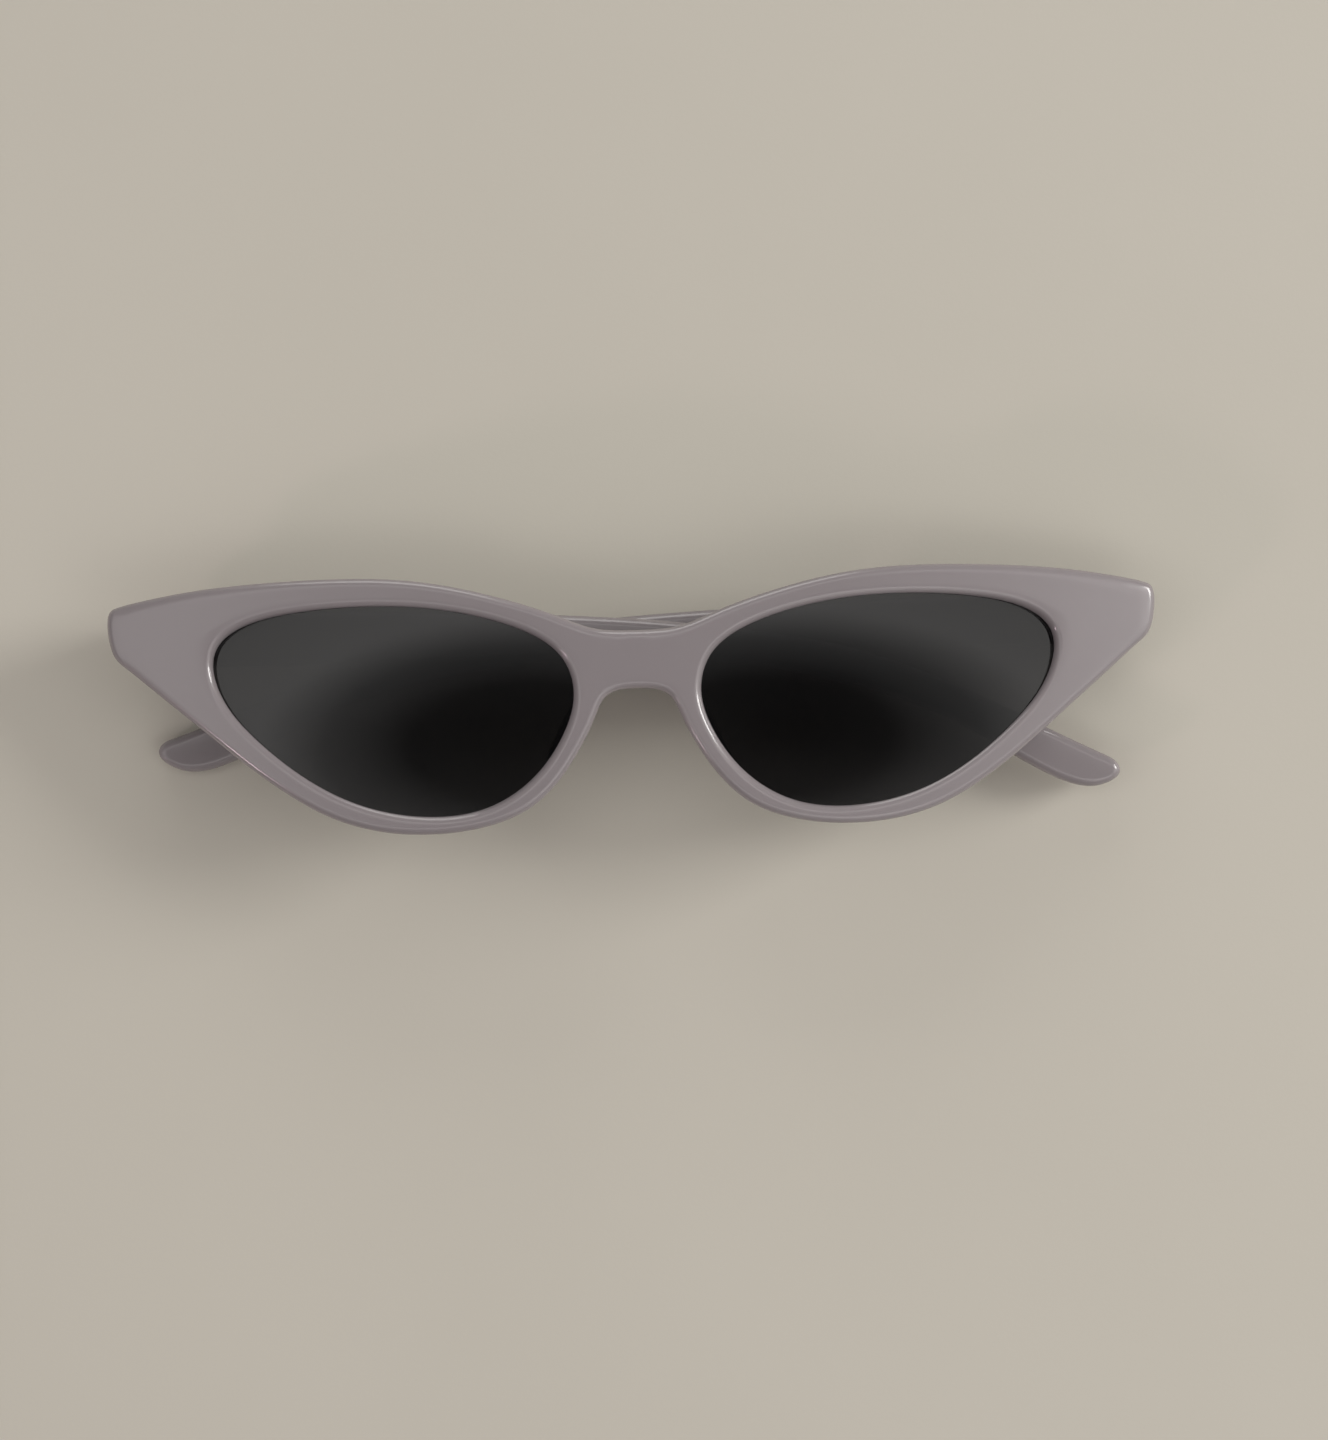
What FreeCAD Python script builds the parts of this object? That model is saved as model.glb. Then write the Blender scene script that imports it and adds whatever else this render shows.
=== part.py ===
"""Cat eye sunglasses, folded and lying on a table with the front face up.

The front is a one-piece moulding with integral nose pads. Each temple turns on a three-knuckle metal hinge:
the outer two knuckles belong to the leaf set into the front, the middle one to the leaf set into the temple,
and a slotted screw is the hinge pin.

Every piece is drawn in the front's own frame: X to the right, Y towards the brow, Z out of the face, with
the origin on the front surface in the middle of the bridge. The last step lays the folded glasses down.
"""
import FreeCAD, Part
import math
import os
import Sketcher
from FreeCAD import Placement, Rotation, Vector

doc = FreeCAD.newDocument("cat_eye_sunglasses")

# ---------------------------------------------------------------- driving dimensions, mm and degrees
SIZES = {
    # the moulded front
    "face_radius": 300.0,        # wrap of the front, seen from above
    "rim_depth": 4.0,            # front surface to back surface
    "half_span": 72.8,           # middle of the bridge to the tip of an end piece
    "end_plane": 12.2,           # flat back of the end pieces, behind the bridge's front
    "ramp_inner": 59.2,          # where the back starts to thicken into an end piece
    "ramp_outer": 61.0,
    # lenses
    "lens_radius": 130.0,        # radius of the lens's outer surface
    "lens_thick": 1.8,
    "lens_bite": 0.8,            # how far the lens enters its groove
    "lens_gap": 0.03,            # play of the lens in its groove
    "lens_mid_x": 33.4,
    "lens_mid_y": -6.7,
    # nose pads
    "pad_mid_x": 8.9,
    "pad_mid_y": -11.0,
    "pad_half_length": 3.5,
    "pad_half_thick": 1.15,
    "pad_lean": 1.5,             # how far a pad leans away from the nose towards its back edge
    "pad_back": 9.6,             # back edge, behind the bridge's front
    "pad_round": 0.6,
    # hinges
    "hinge_x": 66.5,
    "hinge_mid_y": 4.2,
    "hinge_back": 2.1,           # hinge axis behind the end piece's flat back
    "knuckle_radius": 1.4,
    "knuckle_length": 1.55,
    "knuckle_gap": 0.05,
    "screw_radius": 0.7,
    "screw_play": 0.05,
    "screw_head_radius": 1.15,
    "screw_head_height": 0.6,
    "screw_stub": 0.25,          # how far the screw's end stands out of the lower knuckle
    "slot_width": 0.35,
    "slot_depth": 0.3,
    "leaf_thick": 0.9,
    "leaf_length": 6.0,
    "leaf_play": 0.02,
    "stud_radius": 0.8,
    "stud_length": 1.5,
    "stud_inset": 1.4,           # from each end of a leaf to the middle of its stud
    "temple_leaf_start": 1.7,
    # temples
    "temple_outer": 5.0,         # outer face, from the hinge axis
    "temple_thick": 4.0,         # at the hinge
    "temple_middle": 3.0,        # thickness along the middle
    "temple_tip": 3.3,           # thickness at the ear tip
    "butt": 2.0,                 # the temple's square end, from the hinge axis
    "temple_round": 0.9,
    "relief_radius": 1.55,       # room round the knuckles
    "ear_lift": 6.0,             # how much higher the left ear ends than the right: it is bent less
    "ear_lift_power": 3.5,       # how late along the temple that difference comes in
    "ear_reach": 134.0,          # where it is complete, from the hinge axis
    "plan_height": 80.0,         # height of the slabs that shape the front and temples from above
    # how the folded temples lie, measured from parallel to the front
    "outer_fold": 1.8,           # left temple, folded last: it lies on the table
    "inner_fold": -1.4,          # right temple, folded first: it lies nearer the lenses
}

sheet = doc.addObject("Spreadsheet::Sheet", "dims")
for row, (alias, value) in enumerate(SIZES.items(), start=1):
    sheet.set(f"A{row}", alias)
    sheet.set(f"B{row}", str(value))
    sheet.setAlias(f"B{row}", alias)
doc.recompute()


def size(alias):
    """One of the sheet's numbers."""
    return float(sheet.get(alias))


# ---------------------------------------------------------------- outlines
# Right half of the front, seen from the front. The left half is its mirror image.
BROW = [(0, 3.5), (5.5, 3.85), (11, 5.85), (19.5, 8.7), (30, 10.95), (42, 11.6), (56, 11.05), (64.5, 10.05),
        (71.6, 8.6)]
TIP_CORNER = [(71.6, 8.6), (72.5, 8.1), (72.8, 7.1)]
TIP_END = [(72.8, 7.1), (72.7, 4.5), (71.85, 1.75), (70.0, 0.0)]
LOWER_RIM = [(54.2, -13.1), (48.3, -17.45), (42.2, -20.95), (35.5, -23.0), (28.5, -23.55), (21.5, -22.8),
             (15, -20.3), (10.6, -16.2), (8.2, -12.7), (6.5, -9.6), (5.4, -7.1), (4.4, -5.5), (2.6, -4.6),
             (0, -4.4)]
CHEEK = (-0.7699, -0.6382)          # direction of the straight edge under an end piece
PAD_ALONG = (0.447, 0.894)          # direction of a nose pad's length, towards the nose and the brow

LENS_OPENING = [(8.7, -5.2), (9.9, -0.4), (13.6, 2.95), (20.3, 5.6), (28.3, 7.2), (37, 7.7), (46, 7.2),
                (53.6, 5.55), (57.3, 2.9), (58.05, -0.3), (56.4, -5.0), (52.3, -9.95), (45.8, -15.3),
                (38.0, -19.35), (29.2, -21.1), (21.0, -20.15), (14.5, -16.2), (10.4, -10.7)]

# A temple seen from outside: distance from the hinge axis, and height in the front's frame.
TEMPLE_TOP = [(-2.0, 8.3), (20, 7.85), (45, 6.95), (66.5, 5.6), (82, 3.7), (96, 1.0), (108, -3.3),
              (124, -11.1), (132.0, -15.1)]
TEMPLE_EAR_TIP = [(134.2, -16.5), (134.6, -17.8), (133.3, -19.1), (131.1, -19.75)]
TEMPLE_UNDERSIDE = [(128.4, -19.5), (125.1, -18.2), (119.5, -15.0), (110, -9.4), (98, -4.8), (84, -1.6),
                    (66.5, 0.4), (45, 0.85), (20, 0.35), (-2.0, 0.1)]


def curve(points, start=None, end=None):
    """An edge through points, with its end directions if they are given."""
    spline = Part.BSplineCurve()
    if start is None:
        spline.interpolate(points)
    else:
        spline.interpolate(Points=points, InitialTangent=start, FinalTangent=end)
    return spline.toShape()


def flat(points, side=1, z=0.0):
    """Outline points as vectors, mirrored to the left for side -1."""
    return [Vector(side * x, y, z) for x, y in points]


def half_outline(side):
    """The edges of one half of the front's outline, from the bridge's top to its arch."""
    across, down = Vector(side, 0, 0), Vector(0, -1, 0)
    cheek = Vector(side * CHEEK[0], CHEEK[1], 0)
    last = Vector(side, -0.2, 0)
    brow = curve(flat(BROW, side), across, last)
    corner = curve(flat(TIP_CORNER, side), last, down)
    end = curve(flat(TIP_END, side), down, cheek)
    straight = Part.LineSegment(*flat([TIP_END[-1], LOWER_RIM[0]], side)).toShape()
    lower = curve(flat(LOWER_RIM, side), cheek, -across)
    return [brow, corner, end, straight, lower]


def lens_loop(side, offset=0.0, samples=30):
    """The lens opening, grown outwards by offset, as a closed curve."""
    spline = Part.BSplineCurve()
    spline.interpolate(Points=flat(LENS_OPENING, side), PeriodicFlag=True)
    if offset:
        first, last = spline.FirstParameter, spline.LastParameter
        middle = Vector(side * size("lens_mid_x"), size("lens_mid_y"), 0)
        grown = []
        for i in range(samples):
            at = first + (last - first) * i / samples
            point = spline.value(at)
            along = spline.tangent(at)[0]
            normal = Vector(along.y, -along.x, 0)
            if normal.dot(point - middle) < 0:
                normal = -normal
            grown.append(point + normal * offset)
        spline = Part.BSplineCurve()
        spline.interpolate(Points=grown, PeriodicFlag=True)
    return Part.Wire(spline.toShape())


def prism(wire, direction):
    """A flat closed wire drawn out into a solid."""
    return Part.Face(wire).extrude(direction)


def loose_part(name, shape):
    """A document object that holds a shape made with Part's own functions."""
    made = doc.addObject("Part::Feature", name)
    made.Shape = shape
    return made


# ---------------------------------------------------------------- front
def face_z(x):
    """Height of the wrapped front surface at x."""
    radius = size("face_radius")
    return math.sqrt(radius * radius - x * x) - radius


def front_bar():
    """The front's section seen from the brow: a bowed bar with thick flat-backed ends, drawn out along Y."""
    reach = size("half_span") + 1.0
    radius, depth = size("face_radius"), size("rim_depth")
    ramp = size("ramp_inner")
    back = -size("end_plane")
    low = math.sqrt((radius - depth) ** 2 - ramp * ramp) - radius

    def at(x, z):
        return Vector(x, -0.5 * size("plan_height"), z)

    edges = [Part.Arc(at(-reach, face_z(reach)), at(0, 0), at(reach, face_z(reach))).toShape()]
    path = [(reach, face_z(reach)), (reach, back), (size("ramp_outer"), back), (ramp, low)]
    for (x0, z0), (x1, z1) in zip(path, path[1:]):
        edges.append(Part.LineSegment(at(x0, z0), at(x1, z1)).toShape())
    edges.append(Part.Arc(at(ramp, low), at(0, -depth), at(-ramp, low)).toShape())
    for (x0, z0), (x1, z1) in zip(path[::-1], path[-2::-1]):
        edges.append(Part.LineSegment(at(-x0, z0), at(-x1, z1)).toShape())
    wire = Part.Wire(Part.__sortEdges__(edges))
    return prism(wire, Vector(0, size("plan_height"), 0))


def nose_pad(side):
    """One pad: a slot-shaped flange that stands back from the nasal side of a rim and leans off the nose."""
    along = Vector(-side * PAD_ALONG[0], PAD_ALONG[1], 0)
    away = Vector(side * PAD_ALONG[1], PAD_ALONG[0], 0)
    centre = Vector(side * size("pad_mid_x"), size("pad_mid_y"), 0)
    half, thick = size("pad_half_length"), size("pad_half_thick")

    def section(z, shift, shrink):
        middle = centre + away * shift + Vector(0, 0, z)
        length, width = half - shrink, thick - 0.3 * shrink
        a, b = middle - along * length, middle + along * length
        edges = [
            Part.LineSegment(a + away * width, b + away * width).toShape(),
            Part.Arc(b + away * width, b + along * width, b - away * width).toShape(),
            Part.LineSegment(b - away * width, a - away * width).toShape(),
            Part.Arc(a - away * width, a - along * width, a + away * width).toShape(),
        ]
        return Part.Wire(edges)

    pad = Part.makeLoft([section(-2.2, 0, 0), section(-size("pad_back"), size("pad_lean"), 0.9)], True, True)
    tail = [e for e in pad.Edges if e.BoundBox.ZMax < -size("pad_back") + 0.01]
    return pad.makeFillet(size("pad_round"), tail)


def sphere_middle(side):
    """Centre of a lens's curved surfaces. The lens's top just reaches the front surface."""
    x, y, radius = size("lens_mid_x"), size("lens_mid_y"), size("lens_radius")
    lean = math.asin(x / size("face_radius"))
    return Vector(side * (x - radius * math.sin(lean)), y, face_z(x) - radius * math.cos(lean))


def lens_blank(side, play=0.0):
    """A lens, or with play the space that it needs."""
    radius, thick = size("lens_radius") + play, size("lens_thick") + 2 * play
    middle = sphere_middle(side)
    loop = lens_loop(side, size("lens_bite") + play)
    loop.translate(Vector(0, 0, -16))
    column = prism(loop, Vector(0, 0, 18))
    return column.common(Part.makeSphere(radius, middle)).cut(Part.makeSphere(radius - thick, middle))


def end_piece_box(side, x0, x1, y0, y1, z0, z1):
    """A box given by its distances from the middle, on one side."""
    corner = Vector(min(side * x0, side * x1), y0, z0)
    return Part.makeBox(abs(x1 - x0), y1 - y0, z1 - z0, corner)


def leaf_range():
    """Lower and upper height of a hinge leaf."""
    half = 1.5 * size("knuckle_length") + size("knuckle_gap")
    return size("hinge_mid_y") - half, size("hinge_mid_y") + half


def front_leaf_room(side):
    """The recess and stud holes for the front's hinge leaf."""
    play, low_high = size("leaf_play"), leaf_range()
    back, hinge = size("end_plane"), size("hinge_x")
    outer = hinge + size("knuckle_radius") + play
    inner = outer - size("leaf_length") - 2 * play
    room = end_piece_box(side, inner, outer, low_high[0] - play, low_high[1] + play, -back - 1,
                         -back + size("leaf_thick") + play)
    for stud in stud_centres(outer - play):
        at = Vector(side * stud, size("hinge_mid_y"), -back)
        room = room.fuse(Part.makeCylinder(size("stud_radius") + play,
                                           size("leaf_thick") + size("stud_length") + play, at))
    return room


def stud_centres(edge):
    """Where the two studs of a leaf stand, from the leaf's edge inwards."""
    return edge - size("stud_inset"), edge - size("leaf_length") + size("stud_inset")


def build_front():
    """The outline cut from the bowed bar, with both openings, lens grooves, nose pads and leaf recesses."""
    edges = half_outline(1) + half_outline(-1)
    wire = Part.Wire(Part.__sortEdges__(edges))
    wire.translate(Vector(0, 0, -20))
    body = prism(wire, Vector(0, 0, 25)).common(front_bar())
    for side in (1, -1):
        opening = lens_loop(side)
        opening.translate(Vector(0, 0, -18))
        body = body.cut(prism(opening, Vector(0, 0, 22)))
    for side in (1, -1):
        body = body.fuse(nose_pad(side))
        body = body.cut(lens_blank(side, size("lens_gap")))
        body = body.cut(front_leaf_room(side))
    return body.removeSplitter()


# ---------------------------------------------------------------- helpers for bound sizes
def bind(thing, **formulas):
    """Binds properties of a document object to formulas; _at_x, _at_y and _at_z are its position."""
    for name, formula in formulas.items():
        path = name.replace("_at_", "Placement.Base.")
        thing.setExpression(path, formula)


def dims(formula):
    """A formula with the sheet's name before each alias."""
    words = sorted(SIZES, key=len, reverse=True)
    out, at = "", 0
    while at < len(formula):
        hit = next((w for w in words if formula.startswith(w, at)), None)
        if hit:
            out += "dims." + hit
            at += len(hit)
        else:
            out += formula[at]
            at += 1
    return out


def block(name, side, x, y, z):
    """A Part::Box between pairs of formulas; x counts outwards on the given side."""
    made = doc.addObject("Part::Box", name)
    low, high = x
    left = low if side > 0 else f"-({high})"
    bind(made, Length=dims(f"({high}) - ({low})"), Width=dims(f"({y[1]}) - ({y[0]})"),
         Height=dims(f"({z[1]}) - ({z[0]})"), _at_x=dims(left), _at_y=dims(y[0]), _at_z=dims(z[0]))
    return made


def rod(name, side, x, y, z, radius, length, axis="z"):
    """A Part::Cylinder with its start and sizes given as formulas."""
    made = doc.addObject("Part::Cylinder", name)
    if axis == "y":
        made.Placement = Placement(Vector(), Rotation(Vector(1, 0, 0), -90))
    bind(made, Radius=dims(radius), Height=dims(length), _at_x=dims(x if side > 0 else f"-({x})"),
         _at_y=dims(y), _at_z=dims(z))
    return made


def fused(name, pieces):
    """The union of several objects."""
    made = doc.addObject("Part::MultiFuse", name)
    made.Shapes = pieces
    made.Refine = True
    return made


def minus(name, base, tool):
    """One object with another cut out of it."""
    made = doc.addObject("Part::Cut", name)
    made.Base, made.Tool = base, tool
    return made


AXIS_Z = "-end_plane - hinge_back"
HALF_STACK = "(1.5 * knuckle_length + knuckle_gap)"
STACK = (f"hinge_mid_y - {HALF_STACK}", f"hinge_mid_y + {HALF_STACK}")
SIDE_NAMES = {1: "left", -1: "right"}      # the wearer's left is +X


# ---------------------------------------------------------------- hinge leaf in the front
def build_front_leaf(side):
    """A plate set flush into the end piece, with two studs and the outer two knuckles."""
    tag = SIDE_NAMES[side]
    edge = "hinge_x + knuckle_radius"
    plate = block(f"front_plate_{tag}", side, (f"{edge} - leaf_length", edge), STACK,
                  ("-end_plane", "-end_plane + leaf_thick"))
    pieces = [plate]
    for i, middle in enumerate((f"{edge} - stud_inset", f"{edge} - leaf_length + stud_inset")):
        pieces.append(rod(f"front_stud_{tag}_{i}", side, middle, "hinge_mid_y", "-end_plane",
                          "stud_radius", "leaf_thick + stud_length"))
    starts = (f"hinge_mid_y - {HALF_STACK}", "hinge_mid_y + 0.5 * knuckle_length + knuckle_gap")
    for i, low in enumerate(starts):
        pieces.append(rod(f"front_knuckle_{tag}_{i}", side, "hinge_x", low, AXIS_Z, "knuckle_radius",
                          "knuckle_length", "y"))
        pieces.append(block(f"front_neck_{tag}_{i}", side, ("hinge_x - knuckle_radius", "hinge_x + 0.8"),
                            (low, f"{low} + knuckle_length"), (AXIS_Z, "-end_plane + 0.4")))
    clear = rod(f"front_clear_{tag}", side, "hinge_x", "hinge_mid_y", AXIS_Z, "screw_radius + screw_play",
                "3 * knuckle_length", "y")
    thread = rod(f"front_thread_{tag}", side, "hinge_x", "hinge_mid_y - 3 * knuckle_length", AXIS_Z,
                 "screw_radius + 0.01", "4 * knuckle_length", "y")
    solid = fused(f"front_leaf_solid_{tag}", pieces)
    holes = fused(f"front_leaf_holes_{tag}", [clear, thread])
    return minus(f"front_hinge_leaf_{tag}", solid, holes)


# ---------------------------------------------------------------- hinge leaf in a temple
def build_temple_leaf(side):
    """A plate set flush into the temple's inner face, with two studs and the middle knuckle."""
    tag = SIDE_NAMES[side]
    inner = "temple_outer - temple_thick"
    near, far = "hinge_x - temple_leaf_start", "hinge_x - temple_leaf_start - leaf_length"
    plate = block(f"temple_plate_{tag}", side, (far, near), STACK,
                  (f"{AXIS_Z} - ({inner}) - leaf_thick", f"{AXIS_Z} - ({inner})"))
    pieces = [plate]
    for i, middle in enumerate((f"{near} - stud_inset", f"{far} + stud_inset")):
        pieces.append(rod(f"temple_stud_{tag}_{i}", side, middle, "hinge_mid_y",
                          f"{AXIS_Z} - ({inner}) - leaf_thick - stud_length", "stud_radius",
                          "leaf_thick + stud_length"))
    low = "hinge_mid_y - 0.5 * knuckle_length"
    pieces.append(rod(f"temple_knuckle_{tag}", side, "hinge_x", low, AXIS_Z, "knuckle_radius",
                      "knuckle_length", "y"))
    pieces.append(block(f"temple_neck_{tag}", side, ("hinge_x - 2.4", "hinge_x"),
                        (low, f"{low} + knuckle_length"), (f"{AXIS_Z} - 1.4", f"{AXIS_Z} - 0.4")))
    bore = rod(f"temple_bore_{tag}", side, "hinge_x", "hinge_mid_y - 2 * knuckle_length", AXIS_Z,
               "screw_radius + screw_play", "4 * knuckle_length", "y")
    return minus(f"temple_hinge_leaf_{tag}", fused(f"temple_leaf_solid_{tag}", pieces), bore)


# ---------------------------------------------------------------- hinge screw
def origin_plane(body, role):
    """One of a body's own planes."""
    return next(f for f in body.Origin.OriginFeatures if f.Role == role)


def drawn(body, name, role, corners):
    """A closed sketch on one of the body's planes, each corner bound to a pair of formulas."""
    sketch = body.newObject("Sketcher::SketchObject", name)
    sketch.AttachmentSupport = (origin_plane(body, role), "")
    sketch.MapMode = "FlatFace"
    count = len(corners)
    guess = [(0.5 + 0.9 * math.cos(2 * math.pi * i / count), 0.9 * math.sin(2 * math.pi * i / count))
             for i in range(count)]
    for i in range(count):
        a, b = guess[i], guess[(i + 1) % count]
        sketch.addGeometry(Part.LineSegment(Vector(*a, 0), Vector(*b, 0)), False)
    for i in range(count):
        sketch.addConstraint(Sketcher.Constraint("Coincident", i, 2, (i + 1) % count, 1))
    for i, (x, y) in enumerate(corners):
        for kind, formula, now in (("DistanceX", x, guess[i][0]), ("DistanceY", y, guess[i][1])):
            at = sketch.addConstraint(Sketcher.Constraint(kind, -1, 1, i, 1, now))
            sketch.setExpression(f"Constraints[{at}]", dims(formula))
    return sketch


def build_screw(side):
    """A slotted screw, drawn round its own axis: head at the top, plain shank through all three knuckles."""
    tag = SIDE_NAMES[side]
    body = doc.addObject("PartDesign::Body", f"hinge_screw_{tag}")
    top, low = "1.5 * knuckle_length + knuckle_gap", "-1.5 * knuckle_length - knuckle_gap - screw_stub"
    profile = drawn(body, f"screw_profile_{tag}", "XZ_Plane", [
        ("0", low), ("screw_radius - 0.2", low), ("screw_radius", f"{low} + 0.2"), ("screw_radius", top),
        ("screw_head_radius", top), ("screw_head_radius", f"{top} + screw_head_height - 0.2"),
        ("screw_head_radius - 0.2", f"{top} + screw_head_height"), ("0", f"{top} + screw_head_height")])
    turned = body.newObject("PartDesign::Revolution", f"screw_turned_{tag}")
    turned.Profile = profile
    turned.ReferenceAxis = (profile, ["V_Axis"])
    turned.Angle = 360
    doc.recompute()
    slot_low = f"{top} + screw_head_height - slot_depth"
    slot = drawn(body, f"screw_slot_{tag}", "XZ_Plane", [
        ("-0.5 * slot_width", slot_low), ("0.5 * slot_width", slot_low),
        ("0.5 * slot_width", f"{slot_low} + 1"), ("-0.5 * slot_width", f"{slot_low} + 1")])
    cut = body.newObject("PartDesign::Pocket", f"screw_slot_cut_{tag}")
    cut.Profile = slot
    cut.Midplane = True
    cut.Length = 4
    doc.recompute()
    return body


# ---------------------------------------------------------------- temples
def temple_side_view(side):
    """The temple's outline seen from the side, laid out along X in the folded position, as a closed wire."""
    outline = TEMPLE_TOP + TEMPLE_EAR_TIP + TEMPLE_UNDERSIDE
    lift = size("ear_lift") if side > 0 else 0.0
    points = []
    for s, y in outline:
        raised = lift * (max(s, 0.0) / size("ear_reach")) ** size("ear_lift_power")
        points.append(Vector(side * (size("hinge_x") - s), y + raised, 0))
    butt = Part.LineSegment(points[-1], points[0]).toShape()
    return Part.Wire(Part.__sortEdges__([curve(points), butt]))


def temple_top_view(side):
    """The temple's outline seen from above: flat outer face, inner face thinning behind the hinge."""
    start, outer = size("hinge_x"), size("temple_outer")
    depths = [(-2.0, size("temple_thick")), (9.0, size("temple_thick")), (24.0, size("temple_middle")),
              (100.0, size("temple_middle")), (115.0, size("temple_tip")), (136.0, size("temple_tip"))]
    level, low = -size("end_plane") - size("hinge_back"), -0.5 * size("plan_height")
    corners = [Vector(side * (start - s), low, level - outer + thick) for s, thick in depths]
    corners += [Vector(side * (start - s), low, level - outer) for s in (136.0, -2.0)]
    return Part.makePolygon(corners + corners[:1])


def build_temple(side):
    """Side view drawn out and rounded, thinned to the plan, then cut out for the leaf and the knuckles."""
    tag = SIDE_NAMES[side]
    level = -size("end_plane") - size("hinge_back") - size("temple_outer")
    side_face = loose_part(f"temple_side_view_{tag}", Part.Face(temple_side_view(side)))
    side_face.Placement = Placement(Vector(0, 0, level), Rotation())
    long_view = doc.addObject("Part::Extrusion", f"temple_profile_{tag}")
    long_view.Base = side_face
    long_view.DirMode = "Custom"
    long_view.Dir = Vector(0, 0, 1)
    long_view.Solid = True
    bind(long_view, LengthFwd=dims("temple_thick"))
    doc.recompute()
    rounded = doc.addObject("Part::Fillet", f"temple_rounded_{tag}")
    rounded.Base = long_view
    radius = size("temple_round")
    rounded.Edges = [(i, radius, radius) for i in outer_rim(long_view.Shape, level)]
    top_face = loose_part(f"temple_top_view_{tag}", Part.Face(temple_top_view(side)))
    thin_view = doc.addObject("Part::Extrusion", f"temple_plan_{tag}")
    thin_view.Base = top_face
    thin_view.DirMode = "Custom"
    thin_view.Dir = Vector(0, 1, 0)
    thin_view.Solid = True
    bind(thin_view, LengthFwd=dims("plan_height"))
    blank = doc.addObject("Part::Common", f"temple_blank_{tag}")
    blank.Base, blank.Tool = rounded, thin_view
    doc.recompute()

    play = "leaf_play"
    inner = "temple_outer - temple_thick"
    room = [
        block(f"temple_leaf_room_{tag}", side,
              (f"hinge_x - temple_leaf_start - leaf_length - {play}", "hinge_x"),
              (f"{STACK[0]} - {play}", f"{STACK[1]} + {play}"),
              (f"{AXIS_Z} - ({inner}) - leaf_thick - {play}", f"{AXIS_Z}")),
        rod(f"temple_relief_{tag}", side, "hinge_x", f"{STACK[0]} - screw_stub - 0.15", AXIS_Z,
            "relief_radius",
            "3 * knuckle_length + 2 * knuckle_gap + screw_stub + screw_head_height + 0.3", "y"),
    ]
    near, far = "hinge_x - temple_leaf_start", "hinge_x - temple_leaf_start - leaf_length"
    for i, middle in enumerate((f"{near} - stud_inset", f"{far} + stud_inset")):
        room.append(rod(f"temple_stud_room_{tag}_{i}", side, middle, "hinge_mid_y",
                        f"{AXIS_Z} - ({inner}) - leaf_thick - stud_length - {play}", f"stud_radius + {play}",
                        f"leaf_thick + stud_length + {play}"))
    return minus(f"temple_{tag}", blank, fused(f"temple_room_{tag}", room))


def outer_rim(shape, level):
    """Numbers of the curved edges round the temple's flat outer face; the square butt end stays sharp."""
    found = []
    for i, edge in enumerate(shape.Edges, start=1):
        box = edge.BoundBox
        if box.ZMax < level + 0.01 and box.XLength > 0.1:
            found.append(i)
    return found


# ---------------------------------------------------------------- lenses
def build_lens(side):
    return loose_part(f"lens_{SIDE_NAMES[side]}", lens_blank(side))


# ---------------------------------------------------------------- laying the folded glasses down
def fold(side):
    """Turns a temple about its hinge axis, from parallel to the front to where it rests."""
    angle = size("outer_fold") if side > 0 else size("inner_fold")
    middle = Vector(side * size("hinge_x"), 0, -size("end_plane") - size("hinge_back"))
    return Placement(Vector(), Rotation(Vector(0, 1, 0), -side * angle), middle)


def build_all():
    """Every piece with the side whose hinge moves it, or 0 for what belongs to the front."""
    pieces = [(loose_part("front_frame", build_front()), 0)]
    for side in (1, -1):
        pieces.append((build_lens(side), 0))
        pieces.append((build_front_leaf(side), 0))
        screw = build_screw(side)
        pieces.append((screw, 0))
        pieces.append((build_temple(side), side))
        pieces.append((build_temple_leaf(side), side))
    doc.recompute()
    return pieces


def lay_down(pieces):
    """Tilts everything so that the outer temple's flat face is level, then sets it on z = 0."""
    tilt = Rotation(Vector(0, 1, 0), size("outer_fold"))
    for piece, side in pieces:
        own = Placement()
        if piece.TypeId == "PartDesign::Body":
            hinge = 1 if piece.Name.endswith("left") else -1
            pin = Vector(hinge * size("hinge_x"), size("hinge_mid_y"),
                         -size("end_plane") - size("hinge_back"))
            own = Placement(pin, Rotation(Vector(1, 0, 0), -90))
        turn = fold(side) if side else Placement()
        piece.Placement = Placement(Vector(), tilt) * turn * own
    doc.recompute()
    box = FreeCAD.BoundBox()
    for piece, side in pieces:
        box.add(piece.Shape.optimalBoundingBox())
    shift = Vector(-box.Center.x, -box.Center.y, -box.ZMin)
    for piece, side in pieces:
        piece.Placement = Placement(shift, Rotation()) * piece.Placement
    doc.recompute()
    return shift


pieces = build_all()
shift = lay_down(pieces)
print("shift of the front's own frame:", [round(v, 4) for v in shift])
for side in (1, -1):
    middle = Vector(side * size("hinge_x"), size("hinge_mid_y"), -size("end_plane") - size("hinge_back"))
    at = Rotation(Vector(0, 1, 0), size("outer_fold")).multVec(middle) + shift
    print("hinge", SIDE_NAMES[side], [round(v, 4) for v in at])

# ---------------------------------------------------------------- checks, then one file for each piece
for thing in doc.Objects:
    if "Invalid" in thing.State or "Error" in thing.State:
        raise RuntimeError(f"{thing.Name} failed: {thing.State}")
os.makedirs("parts", exist_ok=True)
for piece, side in pieces:
    piece.Label = piece.Name
    shape = piece.Shape
    if shape.isNull() or not shape.isValid() or len(shape.Solids) != 1:
        raise RuntimeError(f"{piece.Name} is not one valid solid: {len(shape.Solids)}")
    shape.exportStep(f"parts/{piece.Label}.step")
    print(piece.Label, round(shape.Volume, 1))
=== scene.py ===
import math
import bmesh
import bpy
import numpy as np
from mathutils import Matrix, Vector


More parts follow.
